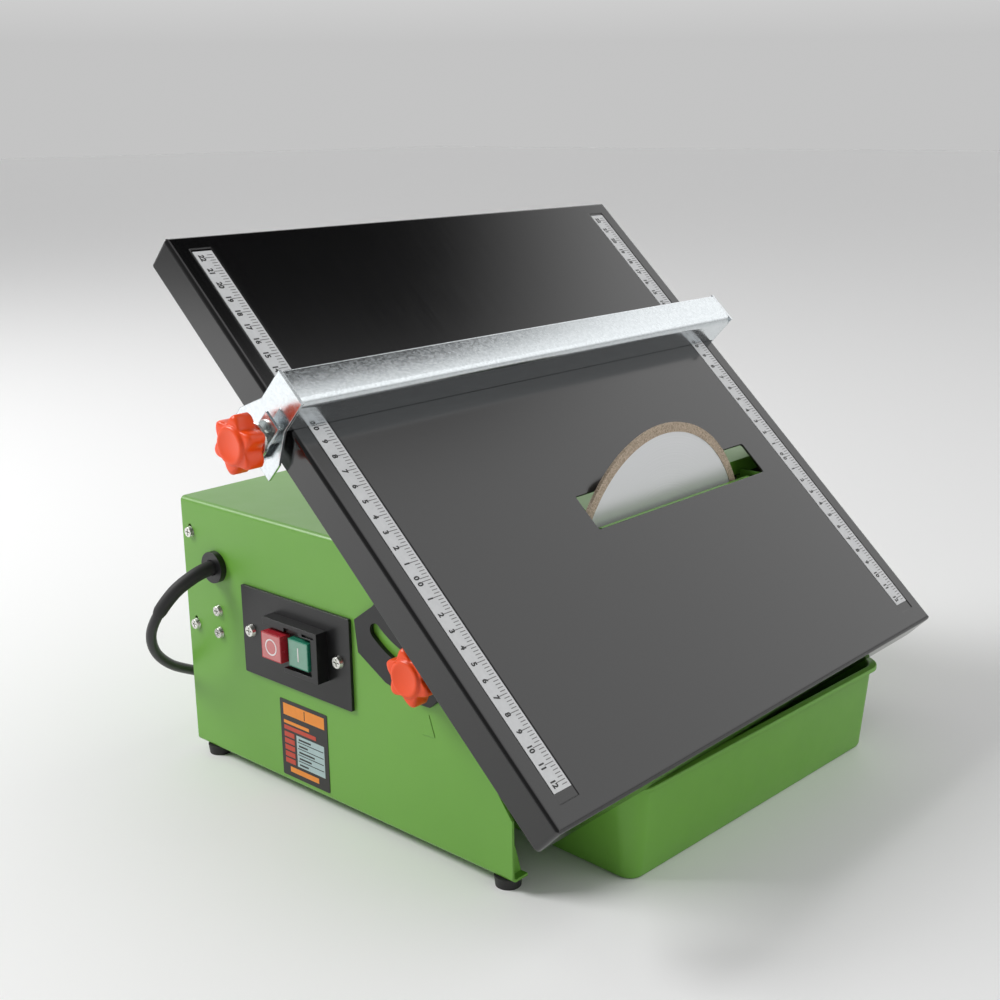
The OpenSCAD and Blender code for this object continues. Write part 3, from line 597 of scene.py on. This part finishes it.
def make_plug(material):
    """Moulded two-pin plug with a ribbed relief and a gripped waist."""
    low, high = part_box("plug_body")
    start = Vector((low.x, (low.y + high.y) / 2, (low.z + high.z) / 2))
    profile = [(0.0, 0.0034), (0.0, 0.0042), (0.001, 0.0046)]
    for i in range(PLUG_RIBS):
        at = 0.002 + PLUG_RIB_PITCH * i
        swell = 0.0048 + 0.0003 * i
        groove = swell - PLUG_RIB_DEPTH
        profile += [(at, swell), (at + 0.0018, swell), (at + 0.0019, groove), (at + 0.0031, groove)]
    profile += [(0.0196, 0.0066), (0.0205, 0.0088), (0.023, 0.0098), (0.029, 0.0112), (0.034, 0.0122),
                (0.038, 0.0155), (0.041, 0.0178), (0.0425, 0.0183), (0.0525, 0.0183), (0.0538, 0.0172),
                (0.0538, 0.0150)]
    plug = link_mesh("mains_plug", revolve("mains_plug", profile, start), material, "base")
    smooth_by_angle(plug.data, 32)
    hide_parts("plug_body")
    return plug


# ------------------------------------------------------------------ star knobs

KNOB_PROFILE = [
    # height, middle radius and height of the lobes, in millimetres
    (10.0, 4.0, 0.0), (0.0, 4.0, 0.0), (0.0, 8.6, 0.0), (0.4, 9.0, 0.0), (2.2, 9.0, 0.0),
    (2.5, 11.8, 1.7), (3.0, 13.0, 2.1), (4.2, 13.9, 2.3), (11.8, 13.9, 2.3), (13.0, 13.6, 2.2),
    (13.8, 12.8, 1.8), (14.0, 11.6, 0.9), (13.9, 10.9, 0.2), (14.1, 10.5, 0.0), (15.0, 10.1, 0.0),
    (15.5, 9.5, 0.0), (15.5, 8.0, 0.0), (15.2, 7.2, 0.0),
]


KNOB_LOBES = 6
KNOBS = [
    # piece, CAD node, body, turn at rest in degrees
    ("knob_near", "tilt_knob_near", "tilt_clamp_near", 42),
    ("knob_far", "tilt_knob_far", "tilt_clamp_far", 40),
    ("knob_fence", "fence_knob", "fence_clamp", 20),
]


def knob_mesh(name, matrix, sides=120):
    loops = []
    for height, radius, lobes in KNOB_PROFILE:
        loop = []
        for k in range(sides):
            a = 2 * math.pi * k / sides
            r = (radius + lobes * math.cos(KNOB_LOBES * a)) * MM
            loop.append(matrix @ Vector((r * math.cos(a), r * math.sin(a), height * MM)))
        loops.append(loop)
    mesh = loft(name, loops)
    smooth_by_angle(mesh, 40)
    return mesh


def outward_matrix(at, axis, turn):
    """Local Z along axis from the point at, turned about it by so many degrees."""
    along = Vector(axis).to_track_quat("Z", "Y").to_matrix().to_4x4()
    m = along @ Matrix.Rotation(math.radians(turn), 4, "Z")
    m.translation = at
    return m


def make_knobs(material):
    for name, node, body, turn in KNOBS:
        turning = next(j for j in frame["joints"] if j["child"] == body)
        axis = Vector(turning["axis"])
        low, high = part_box(node)
        foot_y = high.y if axis.y < 0 else low.y
        at = Vector((turning["pos_m"][0], foot_y, turning["pos_m"][2]))
        knob = link_mesh(name, knob_mesh(name, outward_matrix(at, axis, turn)), material, body)
        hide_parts(node)


# ------------------------------------------------------------------ fence beam

FENCE_SHEET = 0.0015
FENCE_BACK_BEND = 0.002
FENCE_FRONT_BEND = 0.0045


def table_extent(node):
    """Lowest and highest u, y and w of a node in the table's frame."""
    inverse = table_matrix().inverted()
    points = [inverse @ v.co for v in NODES[node].data.vertices]
    return [(min(p[i] for p in points), max(p[i] for p in points)) for i in range(3)]


def bend(u, w, radius, start, end, steps=10):
    """Points round a bend about (u, w), from one angle to another."""
    angles = (math.radians(start + (end - start) * k / steps) for k in range(steps + 1))
    return [(u + radius * math.cos(a), w + radius * math.sin(a)) for a in angles]


def make_fence_beam(material):
    """Channel of folded sheet, with a wide bend along the edge that faces the blade."""
    (back, front), (near, far), (foot, top) = table_extent("fence_beam")
    back_at = (back + FENCE_BACK_BEND, top - FENCE_BACK_BEND)
    front_at = (front - FENCE_FRONT_BEND, top - FENCE_FRONT_BEND)
    section = [(back, foot)] + bend(*back_at, FENCE_BACK_BEND, 180, 90)
    section += bend(*front_at, FENCE_FRONT_BEND, 90, 0) + [(front, foot), (front - FENCE_SHEET, foot)]
    section += bend(*front_at, FENCE_FRONT_BEND - FENCE_SHEET, 0, 90)
    section += bend(*back_at, FENCE_BACK_BEND - FENCE_SHEET, 90, 180) + [(back + FENCE_SHEET, foot)]
    place = table_matrix()
    mesh = loft("fence_channel", [[place @ Vector((u, y, w)) for u, w in section] for y in (near, far)])
    smooth_by_angle(mesh, 30)
    beam = link_mesh("fence_channel", mesh, material, "fence")
    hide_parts("fence_beam")


# ------------------------------------------------------------------ scales

SCALE_LEFT_CM = 22
SCALE_RIGHT_CM = 12
ZERO_SHIFT = 0.001          # the two zeros stand this far each side of the blade line
TICK = 0.0004
TICK_FOOT = 0.0116          # the ticks end this far from the strip's near edge
INK = 0.00006
FILM_RISE = -0.0001         # the foot of the ink stands here above the table's face, or below it if negative
NUMBER_SIZE = 0.0046
NUMBER_FOOT = 0.0013        # the numbers stand this far from the strip's near edge
LONG_TICK = 0.0053          # and the two lengths of tick start here
SHORT_TICK = 0.0080


def scale_marks():
    """(u, number or None) for each mark, both ways from the two zeros."""
    return [(side * (ZERO_SHIFT + 0.002 * k), k // 5 if k % 5 == 0 else None)
            for side, centimetres in ((-1, SCALE_LEFT_CM), (1, SCALE_RIGHT_CM))
            for k in range(5 * centimetres + 2)]


def make_number(name, number, u, y, ink):
    text = bpy.data.curves.new(name, "FONT")
    text.body = str(number)
    text.size = NUMBER_SIZE
    text.align_x, text.align_y = "CENTER", "BOTTOM"
    text.extrude = INK / 2
    text.offset = 0.0002
    text.resolution_u = 3
    text.materials.append(ink)
    o = bpy.data.objects.new(name, text)
    bpy.context.scene.collection.objects.link(o)
    o.matrix_world = table_matrix(u, y, FILM_RISE + INK / 2)
    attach(o, "table")


def make_scale(node, ink, tick_ink):
    """Ticks and numbers printed on one strip. The ticks are on its far side."""
    near_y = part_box(node)[0].y
    ticks = []
    for u, number in scale_marks():
        start = SHORT_TICK if number is None else LONG_TICK
        ticks.append(((u - TICK / 2, near_y + start, FILM_RISE),
                      (u + TICK / 2, near_y + TICK_FOOT, FILM_RISE + INK)))
        if number is not None:
            shift = math.copysign(0.0009, u) if number == 0 else 0
            side = "low" if u > 0 else "high"
            make_number(f"{node}_{side}_{number}", number, u + shift, near_y + NUMBER_FOOT, ink)
    link_mesh(node + "_ticks", boxes_mesh(node + "_ticks", ticks, table_matrix()), tick_ink, "table")


# ------------------------------------------------------------------ switch marks and label

MARK_RISE = 0.00015
RING_INNER = 0.0042
RING_OUTER = 0.0051
BAR_HALF_WIDTH = 0.0004
BAR_HALF_HEIGHT = 0.0042
FACE_INSET = 0.0006
FACE_RISE_OVER_KEY = 0.00005
FACE_DEPTH = 0.0002
ROW_LIFT = 0.00014
SQUARE_PITCH = 4.3          # both pitches are in millimetres on the label
ROW_PITCH = 4.1


def make_switch_marks(ink):
    """A plain ring on the stop key and a plain bar on the start key."""
    low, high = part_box("stop_button")
    middle = (low + high) / 2
    loops = []
    for y, radius in ((0, RING_INNER), (-MARK_RISE, RING_INNER), (-MARK_RISE, RING_OUTER), (0, RING_OUTER)):
        loops.append([Vector((middle.x + radius * math.cos(a), low.y + y, middle.z + radius * math.sin(a)))
                      for a in (2 * math.pi * k / 48 for k in range(48))])
    ring = loft("stop_mark", loops + loops[:1], False, False)
    link_mesh("stop_mark", ring, ink, "stop_key")
    low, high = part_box("start_button")
    middle = (low + high) / 2
    bar = boxes_mesh("start_mark", [((middle.x - BAR_HALF_WIDTH, low.y - MARK_RISE, middle.z - BAR_HALF_HEIGHT),
                                     (middle.x + BAR_HALF_WIDTH, low.y, middle.z + BAR_HALF_HEIGHT))])
    link_mesh("start_mark", bar, ink, "start_key")


def make_key_faces(red, green):
    """Paler, slightly raised windows on both keys."""
    faces = (("stop_face", "stop_button", "stop_key", "red_plastic", red),
             ("start_face", "start_button", "start_key", "green_plastic", green))
    for name, node, body, slot, ink in faces:
        low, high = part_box(node)
        face = boxes_mesh(name, [((low.x + FACE_INSET, low.y - FACE_RISE_OVER_KEY, low.z + FACE_INSET),
                                  (high.x - FACE_INSET, low.y + FACE_DEPTH, high.z - FACE_INSET))])
        link_mesh(name, face, ink, body)


def label_box(left, bottom, right, top, lift=0.00008):
    """A printed patch on the label, in millimetres from the label's lower left corner."""
    low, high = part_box("info_label")
    return ((low.x + left * MM, low.y - lift, low.z + bottom * MM),
            (low.x + right * MM, low.y, low.z + top * MM))


def make_label(orange, red, pale, dark):
    """Generic rating label: bars, a column of squares and an empty table, with no lettering."""
    bars = [label_box(3, 40, 40, 47.5), label_box(3, 34.5, 26, 36.6), label_box(7, 3.2, 33, 6.6)]
    link_mesh("label_bars", boxes_mesh("label_bars", bars), orange, "base")
    squares = [label_box(3, 8.6 + SQUARE_PITCH * i, 12, 11.8 + SQUARE_PITCH * i) for i in range(5)]
    squares.append(label_box(3, 30.6, 32, 33.2))
    link_mesh("label_squares", boxes_mesh("label_squares", squares), red, "base")
    link_mesh("label_table", boxes_mesh("label_table", [label_box(14, 8.6, 39, 29)]), pale, "base")
    rows = [label_box(15, 12.4 + ROW_PITCH * i, 38, 12.9 + ROW_PITCH * i, ROW_LIFT) for i in range(4)]
    rows += [label_box(16, 9.8 + ROW_PITCH * i, 24 + 3 * (i % 3), 10.9 + ROW_PITCH * i, ROW_LIFT)
             for i in range(5)]
    rows.append(label_box(22, 40.8, 22.6, 46.7, ROW_LIFT))
    link_mesh("label_rows", boxes_mesh("label_rows", rows), dark, "base")


# ------------------------------------------------------------------ water tub

def rounded_loop(low, high, radius, z, per_corner=12):
    """Points round a rounded rectangle at height z."""
    corners = [(high.x - radius, high.y - radius, 0), (low.x + radius, high.y - radius, 90),
               (low.x + radius, low.y + radius, 180), (high.x - radius, low.y + radius, 270)]
    loop = []
    for x, y, start in corners:
        for k in range(per_corner + 1):
            a = math.radians(start + 90 * k / per_corner)
            loop.append(Vector((x + radius * math.cos(a), y + radius * math.sin(a), z)))
    return loop


# The tub's measures are in millimetres: its foot's low and high corner, and its turn in degrees.
TUB_FOOT = (Vector((-110, -144.4)), Vector((97, 93.4)))
TUB_TURN = -2.4
TUB_WALL = 2.2
TUB_DRAFT = 4.8
TUB_RIM = 3.4
TUB_CORNER = 9


def make_tub(material):
    """Moulded tub: drafted walls, a rounded foot and a turned-down rim, one skin with its real thickness."""
    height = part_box("water_tub")[1].z / MM
    out = TUB_DRAFT + TUB_RIM
    turn = Matrix.Rotation(math.radians(TUB_TURN), 4, "Z")

    def loop(grow, z):
        shift = Vector((grow, grow))
        low, high = TUB_FOOT[0] - shift, TUB_FOOT[1] + shift
        return [turn @ p for p in rounded_loop(low * MM, high * MM, (TUB_CORNER + grow) * MM, z * MM)]

    def wall(z):
        return TUB_DRAFT * z / height

    section = [(-6, 0.8), (-5, 0.0), (-1.8, 0.0), (-0.6, 0.5), (wall(2.2), 2.2)]
    section += [(wall(z), z) for z in (15, 30, height - 4)]
    section += [(wall(height - 1.6), height - 1.6), (out - 1.0, height - 1.4), (out - 0.9, height - 2.6),
                (out, height - 2.4), (out, height - 0.5), (out - 0.5, height), (TUB_DRAFT - 1.2, height),
                (TUB_DRAFT - TUB_WALL, height - 0.9)]
    section += [(wall(z) - TUB_WALL, z) for z in (height - 6, 30, 15, 5)]
    section += [(-TUB_WALL - 1.0, 2.8), (-TUB_WALL - 3, 2.2), (-8.9, 2.2)]
    mesh = loft("tub_shell", [loop(grow, z) for grow, z in section])
    smooth_by_angle(mesh, 38)
    tub = link_mesh("tub_shell", mesh, material, "tub")
    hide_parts("water_tub")


# ------------------------------------------------------------------ build

def main():
    make_camera()
    materials = make_materials()
    cord, line = make_cord(materials["cord_rubber"])
    make_sleeve(materials["rubber"])
    plug = make_plug(materials["rubber"])
    dress_nodes(materials)
    make_knobs(materials["orange_plastic"])
    make_fence_beam(materials["galvanised"])
    ink = plain_print("ink_black", (0.02, 0.02, 0.02))
    tick_ink = plain_print("ink_grey", (0.16, 0.16, 0.16))
    for node in ("scale_near", "scale_far"):
        make_scale(node, ink, tick_ink)
    make_key_faces(plain_print("face_red", (0.60, 0.20, 0.20), 0.2),
                   plain_print("face_green", (0.19, 0.37, 0.28), 0.2))
    make_switch_marks(plain_print("ink_white", (0.80, 0.74, 0.74)))
    make_label(plain_print("ink_orange", (0.85, 0.28, 0.03)), plain_print("ink_red", (0.55, 0.06, 0.03)),
               plain_print("ink_pale", (0.42, 0.55, 0.55)), ink)
    make_tub(materials["tub_plastic"])
    make_world()
    make_lights()
    make_floor()
    bpy.context.scene.view_settings.view_transform = "Standard"


main()
